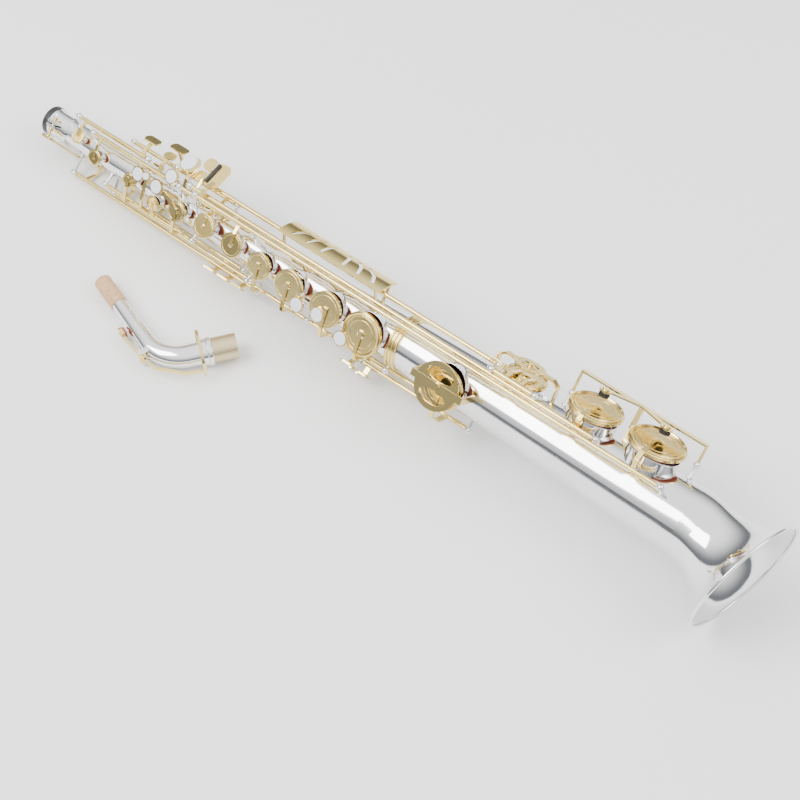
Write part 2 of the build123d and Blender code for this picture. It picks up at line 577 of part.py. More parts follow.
with BuildPart() as end_plug:
    with BuildSketch(across(HORN, -7.3)):
        Circle(15.5)
    extrude(amount=7)
    fillet(end_plug.edges().filter_by(GeomType.CIRCLE), 0.9)
    with BuildSketch(across(HORN, -1.3)):
        Circle(SOCKET - 0.08)
    extrude(amount=19.3)
save(end_plug, "end_plug")

# =====================================================================================
# Posts and rods
# =====================================================================================
# Hinge line: post stations, each with the turn of its foot (None stands straight out)
POSTS = [
    (LOWER_STACK, [(294, None), (373, None), (470.2, None)]),
    (UPPER_STACK, [(94, None), (217, None)]),
    (G_LINE, [(168, None), (249.3, None)]),
    (GS_LINE, [(190, None), (288.3, None)]),
    (CS_LEVER_LINE, [(190, 55), (572.3, None)]),
    (B_LINE, [(202, 60), (688.3, None)]),
    (BB_LINE, [(216, 0), (760.3, None)]),
    (CS_LINE, [(574, 80), (622.3, 80)]),
    (C_LINE, [(436, None), (566, None)]),
    (EB_LINE, [(416, None), (520, None)]),
    (SIDE_E_LINE, [(46, None), (304, None)]),
    (SIDE_C_LINE, [(96, None), (288, None)]),
    (SIDE_BB_LINE, [(137, None), (270, None)]),
    (PALM_D_LINE, [(88, None), (167, None)]),
    (PALM_EB_LINE, [(64, None), (170, None)]),
    (PALM_F_LINE, [(35, None), (134, None)]),
    (OCTAVE_LINE, [(36, None), (136, None)]),
]
GUARD_FEET = [(636, 40.0, -12.0), (767, 44.0, -12.0)]


def post_stem(station, foot_turn, left, front):
    """Round stem from inside the tube wall to the ball, with a spreading foot on the tube."""
    low = tube_radius(station) - 2.5
    foot = HORN.from_local_coords(Vector(station, *polar(foot_turn, low)))
    head = HORN.from_local_coords(Vector(station, left, front))
    stem = Plane(foot, x_dir=HORN.x_dir, z_dir=head - foot)
    with BuildSketch(stem) as round_stem:
        Circle(POST_STEM)
    extrude(round_stem.sketch, amount=(head - foot).length - 2)
    with BuildSketch(stem) as spread:
        Circle(3.4)
    extrude(spread.sketch, amount=3.3)


def cut_to_tube(start, end):
    """Takes away whatever lies inside the tube's outer surface."""
    with BuildSketch(HORN_PROFILE) as core:
        with BuildLine():
            cone_profile(start, end)
        make_face()
    revolve(core.sketch, axis=HORN_AXIS, mode=Mode.SUBTRACT)


with BuildPart() as key_posts:
    for (left, front), posts in POSTS:
        for station, foot_turn in posts:
            rod_turn = math.degrees(math.atan2(left, front))
            post_stem(station, rod_turn if foot_turn is None else foot_turn, left, front)
            with Locations(horn_plane(station, left, front, turn=rod_turn)):
                Sphere(POST_BALL, rotation=(0, -90, 0))
    for station, left, front in GUARD_FEET:
        foot_turn = math.degrees(math.atan2(left, front))
        post_stem(station, foot_turn, left, front)
        with Locations(horn_plane(station, left, front, turn=foot_turn)):
            Sphere(POST_BALL, rotation=(0, -90, 0))
    cut_to_tube(BODY_START, BEND_START)
    with BuildSketch(across(HORN, BODY_END)):
        Circle(RING_CREST)
    extrude(amount=RING_END - BODY_END, mode=Mode.SUBTRACT)
    for (left, front), posts in POSTS:
        for station, _ in posts:
            with BuildSketch(across(horn_plane(0, left, front), station)):
                Circle(ROD)
            extrude(amount=4, both=True, mode=Mode.SUBTRACT)
save(key_posts, "key_posts")

with BuildPart() as pivot_rods:
    for (left, front), posts in POSTS:
        with BuildSketch(across(horn_plane(0, left, front), posts[0][0] - 3.6)):
            Circle(ROD)
        extrude(amount=posts[-1][0] - posts[0][0] + 7.2)
save(pivot_rods, "pivot_rods")

# =====================================================================================
# Guards
# =====================================================================================
GUARD_LEVEL = 62.0
bell_side = horn_plane(turn=90)
with BuildPart() as bell_key_guard:
    with BuildSketch(bell_side.offset(GUARD_LEVEL)):
        with Locations((701.5, 14)):
            SlotCenterToCenter(127, 7)
        bar_outline([(700, 14), (668, 0)], 5)
        bar_outline([(700, 14), (732, 0)], 5)
        with Locations((668, 0), (732, 0)):
            Circle(6.2)
    extrude(amount=1.6)
    with Locations(bell_side):
        with Locations((668, 0, GUARD_LEVEL - 2), (732, 0, GUARD_LEVEL - 2)):
            Cylinder(3.4, 4.6, align=(Align.CENTER, Align.CENTER, Align.MIN))
    for station, left, front in GUARD_FEET:
        with BuildSketch(across(HORN, station)):
            bar_outline([(GUARD_LEVEL + 0.8, -14), (left + 10, front - 1), (left, front)], 2.0)
        extrude(amount=1.2, both=True)
    with BuildSketch(across(HORN, 700)):
        bar_outline([(GUARD_LEVEL + 0.8, -14), (44, -12), (27, -9)], 2.0)
    extrude(amount=2.4, both=True)
    for station, left, front in GUARD_FEET:
        with Locations(HORN.from_local_coords(Vector(station, left, front))):
            Sphere(POST_BALL, mode=Mode.SUBTRACT)
    cut_to_tube(600, BEND_START)
save(bell_key_guard, "bell_key_guard")

C_GUARD_LEVEL = 48.0
with BuildPart() as low_c_guard:
    with BuildSketch(HORN.offset(C_GUARD_LEVEL)):
        with Locations((540, 0)):
            Circle(23)
        with Locations((540, 11), (540, -11)):
            Ellipse(15, 6.4, mode=Mode.SUBTRACT)
    extrude(amount=1.6)
    with BuildSketch(HORN_PROFILE):
        bar_outline([(512, 24), (512, C_GUARD_LEVEL + 0.8), (568, C_GUARD_LEVEL + 0.8), (568, 24)], 1.8)
    extrude(amount=3.4, both=True)
    with Locations(HORN):
        with Locations((540, 0, C_GUARD_LEVEL - 1.5)):
            Cylinder(3.4, 4.6, align=(Align.CENTER, Align.CENTER, Align.MIN))
    cut_to_tube(480, 600)
save(low_c_guard, "low_c_guard")

CS_GUARD_LEVEL = 47.0
cs_guard_plane = horn_plane(turn=82)
with BuildPart() as low_c_sharp_guard:
    with BuildSketch(cs_guard_plane.offset(CS_GUARD_LEVEL)):
        with Locations((597, 0)):
            Ellipse(16, 11)
            Ellipse(9, 5.5, mode=Mode.SUBTRACT)
        with Locations((597, 0)):
            Circle(4.2)
        bar_outline([(584, 0), (610, 0)], 3)
    extrude(amount=1.6)
    with BuildSketch(along(cs_guard_plane)):
        bar_outline([(565, 25), (565, 44), (571, CS_GUARD_LEVEL + 0.8), (584, CS_GUARD_LEVEL + 0.8)], 1.8)
        bar_outline([(629, 25), (629, 44), (623, CS_GUARD_LEVEL + 0.8), (610, CS_GUARD_LEVEL + 0.8)], 1.8)
    extrude(amount=2.8, both=True)
    with Locations(cs_guard_plane):
        with Locations((597, 0, CS_GUARD_LEVEL - 1)):
            Cylinder(2.4, 5, align=(Align.CENTER, Align.CENTER, Align.MIN))
    cut_to_tube(540, 650)
save(low_c_sharp_guard, "low_c_sharp_guard")

with BuildPart() as guard_bumpers:
    for station, turn, level, radius in ((668, 90, GUARD_LEVEL - 2, 5.0), (732, 90, GUARD_LEVEL - 2, 5.0),
                                         (540, 0, C_GUARD_LEVEL - 1.5, 4.6),
                                         (597, 82, CS_GUARD_LEVEL - 1, 3.4)):
        depth = 2.2 if turn == 0 or turn == 82 else 3.0
        with BuildSketch(horn_plane(station, turn=turn).offset(level - depth)):
            Circle(radius)
        extrude(amount=depth)
save(guard_bumpers, "guard_bumpers")

SHIELD_IN, SHIELD_OUT = 43.2, 44.6
SHIELD_TURN = 76.0
shield_plane = horn_plane(turn=SHIELD_TURN)
with BuildPart() as side_guard:
    with BuildSketch(across(HORN, 312)):
        with BuildLine():
            shield_outer = CenterArc((0, 0), SHIELD_OUT, 90 - SHIELD_TURN - 19, 38)
            shield_inner = CenterArc((0, 0), SHIELD_IN, 90 - SHIELD_TURN - 19, 38)
            Line(shield_outer @ 0, shield_inner @ 0)
            Line(shield_outer @ 1, shield_inner @ 1)
        make_face()
    extrude(amount=126)
    with BuildSketch(shield_plane):
        for side in (-1, 1):
            for reach, lean in ((12, 3), (28, 7), (44, 11)):
                bar_outline([(375 + side * (reach + lean * 0.5), -8.5), (375 + side * reach, 1.0),
                             (375 + side * (reach - lean), 8.5)], 3.4)
    extrude(amount=50, mode=Mode.SUBTRACT)
    for station in (318, 432):
        for turn in (60.5, 91.5):
            with BuildSketch(horn_plane(station, turn=turn).offset(tube_radius(station) - 2)):
                Circle(1.6)
            extrude(amount=SHIELD_IN + 0.7 - tube_radius(station) + 2)
    cut_to_tube(300, 450)
save(side_guard, "side_guard")

# ---- thumb hook, thumb rest and strap ring on the back
HOOK_STATION, HOOK_TURN = 330.0, -165.0
with BuildPart() as thumb_hook:
    with BuildSketch(across(HORN, HOOK_STATION)):
        bar_outline([polar(HOOK_TURN, 19), polar(HOOK_TURN - 4, 38), polar(HOOK_TURN + 2, 42.1),
                     polar(HOOK_TURN + 14, 45.74)], 3.0)
    extrude(amount=7, both=True)
    with BuildSketch(horn_plane(HOOK_STATION, turn=HOOK_TURN).offset(19)):
        RectangleRounded(26, 15, 4)
    extrude(amount=4)
    cut_to_tube(300, 360)
save(thumb_hook, "thumb_hook")

with BuildPart() as thumb_rest:
    with BuildSketch(horn_plane(182, turn=180).offset(14)):
        Circle(4)
    extrude(amount=7.5)
    with BuildSketch(horn_plane(182, turn=180).offset(20.5)):
        Ellipse(9, 7.5)
    extrude(amount=3)
    fillet(thumb_rest.edges().filter_by(GeomType.ELLIPSE), 1.0)
    cut_to_tube(150, 200)
save(thumb_rest, "thumb_rest")

RING_STATION = 262.0
ring_plane = horn_plane(RING_STATION, turn=180)
with BuildPart(ring_plane) as strap_ring:
    with Locations((0, 0, 28)):
        Torus(6.2, 1.6, rotation=(90, 0, 0))
    with Locations((0, 0, 17.5)):
        Box(20, 8, 4.5, align=(Align.CENTER, Align.CENTER, Align.MIN))
    cut_to_tube(230, 300)
save(strap_ring, "strap_ring")

# =====================================================================================
# Neck, lying beside the horn
# =====================================================================================
NECK_START = (172.0, -108.7, 8.8)
NECK_LEAN = 2.15
NECK_HEADING = -17.0
NECK_STRAIGHT, NECK_ARC, NECK_SWEEP = 95.3, 38.0, 72.0
TENON_START, TENON_LENGTH, TENON = 165.0, 24.0, 12.25
CORK_LENGTH, CORK = 36.0, 8.5
COLLAR = 14.0
NECK = Plane(Location((SHIFT_X + NECK_START[0], SHIFT_Y + NECK_START[1], NECK_START[2]))
             * Location((0, 0, 0), (0, -NECK_LEAN, 0)) * Location((0, 0, 0), (0, 0, NECK_HEADING)))
ARC_RUN = NECK_ARC * math.radians(NECK_SWEEP)


def neck_radius(run):
    return 6.3 + 0.0335 * run


def neck_place(run):
    """Plane across the neck: Z runs down it, X points to the outside of its bend."""
    turned = max(0.0, min(1.0, (run - NECK_STRAIGHT) / ARC_RUN)) * NECK_SWEEP
    x = min(run, NECK_STRAIGHT) + NECK_ARC * math.sin(math.radians(turned))
    y = NECK_ARC * (1 - math.cos(math.radians(turned)))
    beyond = max(0.0, run - NECK_STRAIGHT - ARC_RUN)
    x += beyond * math.cos(math.radians(turned))
    y += beyond * math.sin(math.radians(turned))
    return Plane(NECK.location * Location((x, y, 0)) * Location((0, 0, 0), (0, 0, turned))
                 * Location((0, 0, 0), (0, 90, 0)) * Location((0, 0, 0), (0, 0, -90)))


ARC_STEPS = [NECK_STRAIGHT + ARC_RUN * step / 6 for step in range(7)]
TUBE_END = TENON_START - 2


def neck_solid(less, mode=Mode.ADD):
    """The neck's cone, bent round its arc, with its radius taken in by less."""
    for runs in ((0, NECK_STRAIGHT), ARC_STEPS, (ARC_STEPS[-1], TUBE_END)):
        rings = []
        for run in runs:
            with BuildSketch(neck_place(run)) as ring:
                Circle(neck_radius(run) - less)
            rings.append(ring.sketch)
        loft(rings, mode=mode)


# The vent stands on the outside of the neck's straight length
VENT_RUN = 71.0
vent_plane = Plane(neck_place(VENT_RUN).origin, x_dir=neck_place(VENT_RUN).z_dir,
                   z_dir=neck_place(VENT_RUN).x_dir)
VENT_TOP = neck_radius(VENT_RUN) + 2.2
with BuildPart() as neck_tube:
    neck_solid(0)
    with BuildSketch(vent_plane):
        Circle(2.4)
    extrude(amount=VENT_TOP)
    neck_solid(WALL, mode=Mode.SUBTRACT)
    with BuildSketch(vent_plane):
        Circle(1.2)
    extrude(amount=VENT_TOP + 1, mode=Mode.SUBTRACT)
save(neck_tube, "neck_tube")

with BuildPart() as neck_cork:
    with BuildSketch(neck_place(2)):
        Circle(CORK)
    extrude(amount=CORK_LENGTH)
    fillet(neck_cork.edges().filter_by(GeomType.CIRCLE), 0.8)
    neck_solid(0, mode=Mode.SUBTRACT)
save(neck_cork, "neck_cork")

with BuildPart() as neck_collar:
    with BuildSketch(neck_place(TENON_START - 5)):
        Circle(COLLAR)
    extrude(amount=5)
    fillet(neck_collar.edges().filter_by(GeomType.CIRCLE), 1.2)
    with BuildSketch(neck_place(TENON_START - 9)):
        Circle(COLLAR - 0.9)
    extrude(amount=4)
    neck_solid(0, mode=Mode.SUBTRACT)
    with BuildSketch(neck_place(TUBE_END)):
        Circle(TENON - 1.1)
    extrude(amount=3, mode=Mode.SUBTRACT)
save(neck_collar, "neck_collar")

with BuildPart() as neck_tenon:
    with BuildSketch(neck_place(TENON_START)):
        Circle(TENON)
    extrude(amount=TENON_LENGTH)
    fillet(neck_tenon.edges().filter_by(GeomType.CIRCLE).sort_by(
        Axis(neck_place(TENON_START).origin, neck_place(TENON_START).z_dir))[-1], 0.6)
    with BuildSketch(neck_place(TENON_START)):
        Circle(TENON - 1.1)
    extrude(amount=TENON_LENGTH, mode=Mode.SUBTRACT)
save(neck_tenon, "neck_tenon")

# ---- octave key of the neck: pad lever outside the bend, and a loop arched over the tube
LOOP_RUN, LOOP = 154.0, 22.0
PIVOT = (NECK_STRAIGHT + 12.0, -12.5)
pivot_plane = Plane(NECK.location * Location((*PIVOT, 0)))


def beside_neck(run, out, along_by=0.0):
    """Point in the neck's own plane, beside its axis on the outside of the bend."""
    spot = neck_place(run)
    return tuple(NECK.to_local_coords(spot.origin + spot.x_dir * out + spot.z_dir * along_by))[:2]


LEVER = [beside_neck(VENT_RUN, VENT_TOP + 5.4), beside_neck(82, 15.2), PIVOT, beside_neck(118, 17.5),
         beside_neck(138, 20.5), beside_neck(LOOP_RUN - 0.4, LOOP - 0.3)]
with BuildPart() as neck_octave_key:
    with BuildSketch(NECK.offset(-2)):
        bar_outline(LEVER, 2.0)
    extrude(amount=3.6)
    with BuildSketch(vent_plane.offset(VENT_TOP + 2.3)):
        Circle(6.2)
    extrude(amount=3.2)
    with BuildSketch(neck_place(LOOP_RUN)):
        with BuildLine():
            loop_outer = CenterArc((0, 0), LOOP + 1.2, 156, 228)
            loop_inner = CenterArc((0, 0), LOOP - 1.2, 156, 228)
            Line(loop_outer @ 0, loop_inner @ 0)
            Line(loop_outer @ 1, loop_inner @ 1)
        make_face()
    extrude(amount=1.4, both=True)
    with Locations(pivot_plane):
        Cylinder(2.6, 12)
        Cylinder(ROD + ROD_FIT, 14, mode=Mode.SUBTRACT)
save(neck_octave_key, "neck_octave_key")

with BuildPart() as neck_octave_pad:
    with BuildSketch(vent_plane.offset(VENT_TOP + CLEAR)):
        Circle(5.4)
    extrude(amount=2.0)
save(neck_octave_pad, "neck_octave_pad")

with BuildPart() as neck_pivot:
    with Locations(pivot_plane):
        Cylinder(ROD, 17)
    for level in (-8.5, 6.5):
        with BuildSketch(pivot_plane.offset(level)):
            bar_outline([(0, 0), (0, 10)], 5)
        extrude(amount=2.0)
    neck_solid(0, mode=Mode.SUBTRACT)
save(neck_pivot, "neck_pivot")
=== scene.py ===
"""Looks for the straight alto saxophone: finishes for every CAD node, and the small fittings.

The fittings are pads and pearls of the small keys, rolled tone hole rims, ridges on the key cups,
rod screws, spring wires and rollers.
"""

import json
import math

import bmesh
import bpy
from mathutils import Matrix, Vector


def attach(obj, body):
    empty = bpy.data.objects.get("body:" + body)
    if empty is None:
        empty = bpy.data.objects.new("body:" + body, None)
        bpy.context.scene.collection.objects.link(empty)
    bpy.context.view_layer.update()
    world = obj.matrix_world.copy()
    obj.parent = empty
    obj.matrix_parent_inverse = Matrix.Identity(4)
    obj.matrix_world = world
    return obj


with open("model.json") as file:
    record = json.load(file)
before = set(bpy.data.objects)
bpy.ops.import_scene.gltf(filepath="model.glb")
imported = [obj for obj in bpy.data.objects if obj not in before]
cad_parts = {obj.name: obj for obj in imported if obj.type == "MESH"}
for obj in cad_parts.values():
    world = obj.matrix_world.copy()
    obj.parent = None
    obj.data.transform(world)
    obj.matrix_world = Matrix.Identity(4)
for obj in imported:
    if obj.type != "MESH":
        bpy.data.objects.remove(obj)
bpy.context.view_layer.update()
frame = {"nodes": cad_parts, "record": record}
MM = 0.001
JOINTS = {joint["name"]: joint for joint in frame["record"]["behaviour"]["joints"]}

# ---- the horn's own axes: X runs down the bore from the receiver's mouth
ROLL = math.radians(52.0)
BORE = Vector(JOINTS["end_plug_pull"]["axis"]) * -1
PITCH = math.asin(BORE.z)
MOUTH_POINT = Vector((-428.5, 50.85, 28.1)) * MM
HORN = (Matrix.Translation(MOUTH_POINT) @ Matrix.Rotation(-PITCH, 4, "Y")
        @ Matrix.Rotation(ROLL, 4, "X"))

TOP_RADIUS, TAPER = 12.6, 0.026
CHIMNEY, BELL_CHIMNEY, SHARP_CHIMNEY = 3.5, 7.0, 4.5
PAD_GAP, PAD, POCKET, CUP_HEIGHT = 0.3, 3.5, 2.0, 3.2
LAND = 3.5


def tube_radius(station):
    return TOP_RADIUS + TAPER * station


def around(turn, radius):
    """Section point (left, front) at an angle round the bore."""
    return radius * math.sin(math.radians(turn)), radius * math.cos(math.radians(turn))


def at(station, left, front):
    """Millimetres down the bore, to the left and to the front, as a point in the frame."""
    return HORN @ Vector((station * MM, left * MM, front * MM))


def facing(turn):
    """Direction straight out of the tube at a turn."""
    left, front = around(turn, 1.0)
    return (HORN.to_3x3() @ Vector((0, left, front))).normalized()


def key_pose(name):
    """Takes a shut key's points to where the key rests. Keys that press shut stand open."""
    joint = JOINTS[name + "_press"]
    if name not in STANDING_OPEN:
        return Matrix.Identity(4)
    pivot = Matrix.Translation(Vector(joint["pos_m"]))
    turn = Matrix.Rotation(-math.radians(joint["range_deg"][1]), 4, Vector(joint["axis"]))
    return pivot @ turn @ pivot.inverted()


STANDING_OPEN = {"low_b_flat", "low_b", "low_c", "d", "e", "f", "f_sharp", "g", "a", "bis", "c"}

# Key: station, turn, cup radius, chimney height
TONE_HOLES = {
    "low_b_flat": (732, 90, 27.0, BELL_CHIMNEY), "low_b": (668, 90, 26.0, BELL_CHIMNEY),
    "low_c_sharp": (597, 82, 21.0, SHARP_CHIMNEY), "low_c": (540, 0, 22.0, CHIMNEY),
    "low_e_flat": (500, -140, 18.0, CHIMNEY), "d": (443, 0, 21.5, CHIMNEY),
    "e": (397, 0, 18.0, CHIMNEY), "f": (350, 0, 16.2, CHIMNEY), "f_sharp": (311, 0, 14.0, CHIMNEY),
    "g_sharp": (271, 0, 12.5, CHIMNEY), "g": (235, 0, 12.0, CHIMNEY), "a": (198, 0, 11.0, CHIMNEY),
    "bis": (165, -20, 8.0, CHIMNEY), "c": (130, 0, 8.0, CHIMNEY), "palm_d": (100, 172, 8.5, CHIMNEY),
    "palm_e_flat": (77, -5, 8.5, CHIMNEY), "palm_f": (47, 20, 7.5, CHIMNEY),
    "side_e": (62, -128, 7.5, CHIMNEY), "side_c": (110, -135, 8.0, CHIMNEY),
    "side_b_flat": (150, -140, 9.0, CHIMNEY),
}
CAD_PADS = {"low_b_flat", "low_b", "low_c_sharp", "low_c", "d", "e", "f", "f_sharp"}


# =====================================================================================
# Shader maths
# =====================================================================================
class Shade:
    """One socket of a material, with arithmetic that adds Math nodes."""

    def __init__(self, tree, socket):
        self.tree, self.socket = tree, socket

    def node(self, kind, settings=None, **inputs):
        """Adds a node, with its settings first and then the values or links of its sockets."""
        made = self.tree.nodes.new(kind)
        for name, value in (settings or {}).items():
            setattr(made, name, value)
        for name, value in inputs.items():
            key = int(name[1:]) if name[1:].isdigit() and name[0] == "i" else name.replace("_", " ")
            if isinstance(value, Shade):
                self.tree.links.new(value.socket, made.inputs[key])
            else:
                made.inputs[key].default_value = value
        return made

    def out(self, kind, output=0, settings=None, **inputs):
        return Shade(self.tree, self.node(kind, settings, **inputs).outputs[output])

    def math(self, operation, other, flipped=False):
        first, second = (other, self) if flipped else (self, other)
        return self.out("ShaderNodeMath", 0, {"operation": operation}, i0=first, i1=second)

    def __add__(self, other):
        return self.math("ADD", other)

    __radd__ = __add__

    def __mul__(self, other):
        return self.math("MULTIPLY", other)

    __rmul__ = __mul__

    def __sub__(self, other):
        return self.math("SUBTRACT", other)

    def __rsub__(self, other):
        return self.math("SUBTRACT", other, flipped=True)

    def __pow__(self, other):
        return self.math("POWER", other)

    def between(self, low, high):
        """0 below low, 1 above high, smooth in the middle."""
        return self.out("ShaderNodeMapRange", 0, {"interpolation_type": "SMOOTHSTEP"},
                        i0=self, i1=low, i2=high)

    def blend(self, first, second):
        """Colour that goes from the first to the second as this goes from 0 to 1."""
        mix = self.tree.nodes.new("ShaderNodeMix")
        mix.data_type = "RGBA"
        self.tree.links.new(self.socket, mix.inputs[0])
        for socket, value in ((mix.inputs[6], first), (mix.inputs[7], second)):
            if isinstance(value, Shade):
                self.tree.links.new(value.socket, socket)
            else:
                socket.default_value = (*value, 1.0)
        return Shade(self.tree, mix.outputs[2])


def start_finish(name, **constants):
    """New material; gives the Principled node, and Object coordinates as a Shade."""
    material = bpy.data.materials.new(name)
    material.use_nodes = True
    tree = material.node_tree
    shader = tree.nodes["Principled BSDF"]
    for key, value in constants.items():
        shader.inputs[key.replace("_", " ")].default_value = value
    place = Shade(tree, tree.nodes.new("ShaderNodeTexCoord").outputs["Object"])
    return material, shader, place


def feed(shader, **sockets):
    for key, value in sockets.items():
        value.tree.links.new(value.socket, shader.inputs[key.replace("_", " ")])


def noise(place, scale, detail=3.0, roughness=0.5):
    return place.out("ShaderNodeTexNoise", 0, None, Vector=place, Scale=scale, Detail=detail,
                     Roughness=roughness)


def bumped(shader, height, strength, distance):
    feed(shader, Normal=height.out("ShaderNodeBump", 0, None, Height=height, Strength=strength,
                                   Distance=distance))


def metal_finish(name, bright, deep, low, high, ripple):
    """Polished plate or lacquer: two close tones, faint wiping marks and soft waviness."""
    material, shader, place = start_finish(name, Metallic=1.0)
    cloud = noise(place, 14.0, 4.0)
    marks = noise(place, 260.0, 5.0, 0.65)
    feed(shader, Base_Color=cloud.between(0.35, 0.75).blend(bright, deep),
         Roughness=cloud * (high - low) + marks.between(0.45, 0.8) * 0.06 + low)
    bumped(shader, noise(place, 55.0, 2.0), ripple, 0.0004)
    return material


def pad_finish():
    material, shader, place = start_finish("pad_leather", Specular_IOR_Level=0.35)
    grain = noise(place, 900.0, 4.0, 0.6)
    stain = noise(place, 70.0, 3.0)
    feed(shader, Base_Color=stain.between(0.3, 0.7).blend((0.33, 0.055, 0.035), (0.19, 0.03, 0.022)),
         Roughness=grain * 0.25 + 0.42)
    bumped(shader, grain, 0.35, 0.0002)
    return material


def pearl_finish():
    material, shader, place = start_finish("pearl", Coat_Roughness=0.08)
    swirl = noise(place, 120.0, 6.0, 0.6)
    bands = place.out("ShaderNodeTexWave", 1, None, Vector=place, Scale=60.0, Distortion=9.0, Detail=3.0)
    base = swirl.between(0.35, 0.65).blend((0.80, 0.84, 0.90), (0.93, 0.90, 0.88))
    feed(shader, Base_Color=(bands * 0.5).blend(base, (0.72, 0.79, 0.90)), Roughness=swirl * 0.15 + 0.12,
         Coat_Weight=swirl * 0.2 + 0.7)
    return material


def dark_finish(name, tone, low, scale, bump):
    material, shader, place = start_finish(name)
    speck = noise(place, scale, 4.0, 0.6)
    feed(shader, Base_Color=speck.between(0.3, 0.8).blend(tone, tuple(c * 2.4 for c in tone)),
         Roughness=speck * 0.3 + low)
    bumped(shader, speck, bump, 0.0003)
    return material


def cork_finish():
    material, shader, place = start_finish("cork", Specular_IOR_Level=0.25)
    grain = place.out("ShaderNodeTexVoronoi", 0, None, Vector=place, Scale=420.0)
    pits = noise(place, 500.0, 5.0, 0.7)
    lenticel = pits.between(0.60, 0.72)
    tan = grain.between(0.1, 0.6).blend((0.47, 0.27, 0.13), (0.62, 0.40, 0.22))
    feed(shader, Base_Color=lenticel.blend(tan, (0.20, 0.10, 0.045)), Roughness=pits * 0.2 + 0.66)
    bumped(shader, grain + lenticel * -0.8, 0.5, 0.0004)
    return material


def floor_finish():
    material, shader, place = start_finish("floor", Specular_IOR_Level=0.2)
    cloud = noise(place, 2.0, 3.0)
    feed(shader, Base_Color=cloud.blend((0.90, 0.90, 0.90), (0.93, 0.93, 0.93)),
         Roughness=cloud * 0.1 + 0.6)
    return material


FINISH = {
    "silver_plate": metal_finish("silver_plate", (0.87, 0.87, 0.87), (0.76, 0.76, 0.75), 0.05, 0.12, 0.04),
    "gold_lacquer": metal_finish("gold_lacquer", (0.86, 0.69, 0.29), (0.76, 0.57, 0.19), 0.09, 0.19, 0.06),
    "bare_brass": metal_finish("bare_brass", (0.62, 0.52, 0.31), (0.47, 0.38, 0.21), 0.30, 0.48, 0.15),
    "steel": metal_finish("steel", (0.78, 0.77, 0.75), (0.66, 0.65, 0.64), 0.16, 0.28, 0.04),
    "pad_leather": pad_finish(),
    "pearl": pearl_finish(),
    "black_plastic": dark_finish("black_plastic", (0.012, 0.012, 0.014), 0.30, 300.0, 0.15),
    "black_felt": dark_finish("black_felt", (0.010, 0.010, 0.011), 0.65, 1500.0, 0.7),
    "cork": cork_finish(),
}
SLOT = {row["node"]: row["material_slot"] for row in frame["record"]["subparts"]}
for node, thing in frame["nodes"].items():
    thing.data.materials.clear()
    thing.data.materials.append(FINISH[SLOT[node]])
    for face in thing.data.polygons:
        face.material_index = 0


# =====================================================================================
# Small fittings
# =====================================================================================
def turned(profile, base, aim, steps=48):
    """Closed turned shape: profile is (radius, height) in millimetres, from axis to axis or a ring."""
    aim = aim.normalized()
    side = aim.orthogonal().normalized()
    other = aim.cross(side)
    shape = bmesh.new()
    loops = []
    for radius, height in profile:
        if radius == 0:
            loops.append([shape.verts.new(base + aim * height * MM)])
            continue
        ring = []
        for step in range(steps):
            angle = 2 * math.pi * step / steps
            out = side * math.cos(angle) + other * math.sin(angle)
            ring.append(shape.verts.new(base + aim * height * MM + out * radius * MM))
        loops.append(ring)
    pairs = list(zip(loops, loops[1:]))
    if profile[0][0] > 0:
        pairs.append((loops[-1], loops[0]))
    for low, high in pairs:
        for step in range(steps):
            follow = (step + 1) % steps
            corners = [low[step % len(low)], low[follow % len(low)], high[follow % len(high)],
                       high[step % len(high)]]
            face = list(dict.fromkeys(corners))
            if len(face) > 2:
                shape.faces.new(face)
    bmesh.ops.recalc_face_normals(shape, faces=shape.faces)
    return shape


def piece(name, shapes, body, slot):
    """One smooth mesh object from several shapes, riding on a body."""
    mesh = bpy.data.meshes.new(name)
    whole = bmesh.new()
    for shape in shapes:
        part = bpy.data.meshes.new("part")
        shape.to_mesh(part)
        whole.from_mesh(part)
        bpy.data.meshes.remove(part)
        shape.free()
    whole.to_mesh(mesh)
    whole.free()
    thing = bpy.data.objects.new(name, mesh)
    bpy.context.scene.collection.objects.link(thing)
    mesh.materials.append(FINISH[slot])
    mesh.shade_smooth()
    mesh.set_sharp_from_angle(angle=math.radians(40))
    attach(thing, body)
    return thing


def disc_profile(radius, thick, round_off):
    """Disc with a rounded upper edge."""
    steps = 5
    edge = [(radius - round_off * (1 - math.cos(math.pi / 2 * i / steps)),
             thick - round_off + round_off * math.sin(math.pi / 2 * i / steps)) for i in range(steps + 1)]
    return [(0, 0), (radius - 0.1, 0), (radius, 0.1), *edge, (radius * 0.5, thick + 0.1), (0, thick + 0.12)]


def ring_profile(radius, thick, steps=10):
    """Round wire bent into a ring."""
    return [(radius + thick * math.cos(2 * math.pi * i / steps), thick * math.sin(2 * math.pi * i / steps))
            for i in range(steps)]


def cup_top(hole):
    return tube_radius(hole[0]) + hole[3] + PAD_GAP + PAD - POCKET + CUP_HEIGHT


LARGE_CUP = 20                 # cups larger than this have a raised rim


